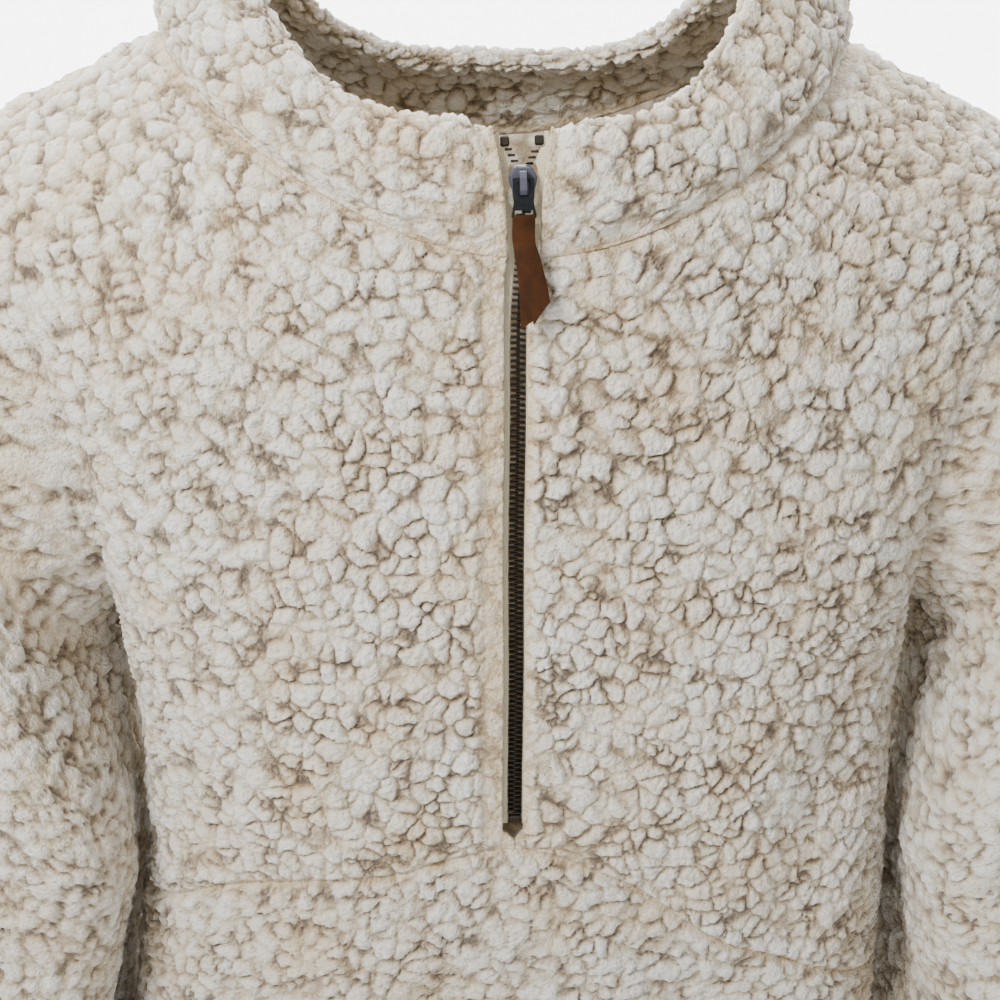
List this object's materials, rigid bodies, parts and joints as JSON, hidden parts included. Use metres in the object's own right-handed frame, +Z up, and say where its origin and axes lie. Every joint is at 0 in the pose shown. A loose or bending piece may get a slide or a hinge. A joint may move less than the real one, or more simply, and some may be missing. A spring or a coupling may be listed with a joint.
{
  "type": "half-zip pullover held up at the shoulders",
  "caption": "Fluffy cream fleece pullover with a stand collar, a half zip with a leather pull, long sleeves and a curved seam across the chest, filled out and hollow.",
  "frame": {"origin": "between the two neck points, where the collar meets the shoulder seams; it hangs below and the collar stands just above", "axes": "+Z up from the hem to the collar, -Y out of the front with the zip, +X to the right of a viewer who looks at the front"},
  "size_m": [0.6793, 0.2254, 0.7499],
  "materials": {
    "fleece": "matt, curly pile",
    "tape": "matt, woven",
    "bronze": "dark antique",
    "gunmetal": "satin",
    "leather": "oiled"
  },
  "bodies": {
    "garment": {"back": "fleece", "front_left": "fleece", "front_right": "fleece", "front_lower": "fleece", "sleeve_left": "fleece", "sleeve_right": "fleece", "collar": "fleece", "zip_tape_left": "tape", "zip_tape_right": "tape", "zip_chain": "bronze", "zip_teeth_left": "bronze", "zip_teeth_right": "bronze", "zip_stop_left": "bronze", "zip_stop_right": "bronze", "zip_stop_bottom": "bronze", "slider": "gunmetal"},
    "pull": {"pull_metal": "gunmetal", "pull_leather": "leather"}
  },
  "joints": [
    {"name": "pull_hinge", "type": "hinge", "parent": "garment", "child": "pull", "pos_m": [0.00648, -0.10446, -0.03905], "axis": [-1, 0, 0], "range_deg": [0, 160]}
  ]
}
